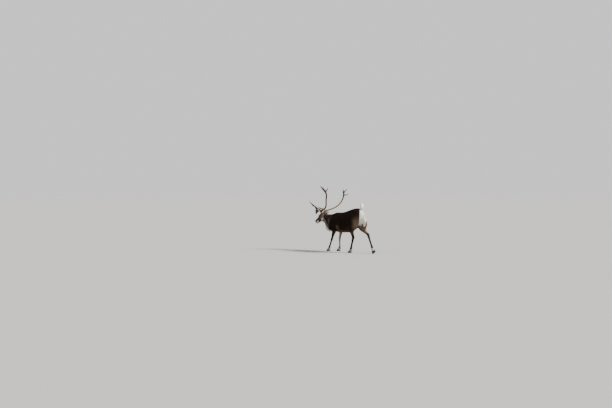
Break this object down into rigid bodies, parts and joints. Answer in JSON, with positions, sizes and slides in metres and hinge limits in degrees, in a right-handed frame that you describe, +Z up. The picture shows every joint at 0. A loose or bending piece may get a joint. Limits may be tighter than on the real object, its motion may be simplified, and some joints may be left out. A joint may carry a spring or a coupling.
{
  "type": "reindeer",
  "caption": "Life-size still model of a bull reindeer in mid stride, head low, with full antlers, throat mane and raised white tail.",
  "frame": {"origin": "on the floor under the middle of the bounding box", "axes": "-X the way the animal looks, +Y to its right side, +Z up"},
  "size_m": [2.4078, 0.8088, 1.944],
  "materials": {
    "dark_coat": "short dense hair, matt",
    "white_coat": "white hair, matt",
    "neck_mane": "long grey and white hair, matt",
    "head_coat": "short hair, matt",
    "antler_bone": "ridged bone, polished at the tips",
    "hoof_horn": "worn horn",
    "eye": "wet and glossy"
  },
  "bodies": {
    "root": {"antler_left_beam_lower": "antler_bone", "antler_left_beam_upper": "antler_bone", "antler_left_bez": "antler_bone", "antler_left_brow": "antler_bone", "antler_left_crown": "antler_bone", "antler_right_back_tine": "antler_bone", "antler_right_beam_lower": "antler_bone", "antler_right_beam_upper": "antler_bone", "antler_right_bez": "antler_bone", "antler_right_brow": "antler_bone", "antler_right_crown": "antler_bone", "ear_left": "dark_coat", "ear_right": "dark_coat", "eye_left": "eye", "eye_right": "eye", "foreleg_left_lower": "dark_coat", "foreleg_left_upper": "dark_coat", "foreleg_right_lower": "dark_coat", "foreleg_right_upper": "dark_coat", "head": "head_coat", "hindleg_left_lower": "dark_coat", "hindleg_left_upper": "dark_coat", "hindleg_right_lower": "dark_coat", "hindleg_right_upper": "dark_coat", "hoof_fore_left_inner": "hoof_horn", "hoof_fore_left_outer": "hoof_horn", "hoof_fore_right_inner": "hoof_horn", "hoof_fore_right_outer": "hoof_horn", "hoof_hind_left_inner": "hoof_horn", "hoof_hind_left_outer": "hoof_horn", "hoof_hind_right_inner": "hoof_horn", "hoof_hind_right_outer": "hoof_horn", "neck": "neck_mane", "tail": "white_coat", "torso": "dark_coat"}
  },
  "joints": []
}
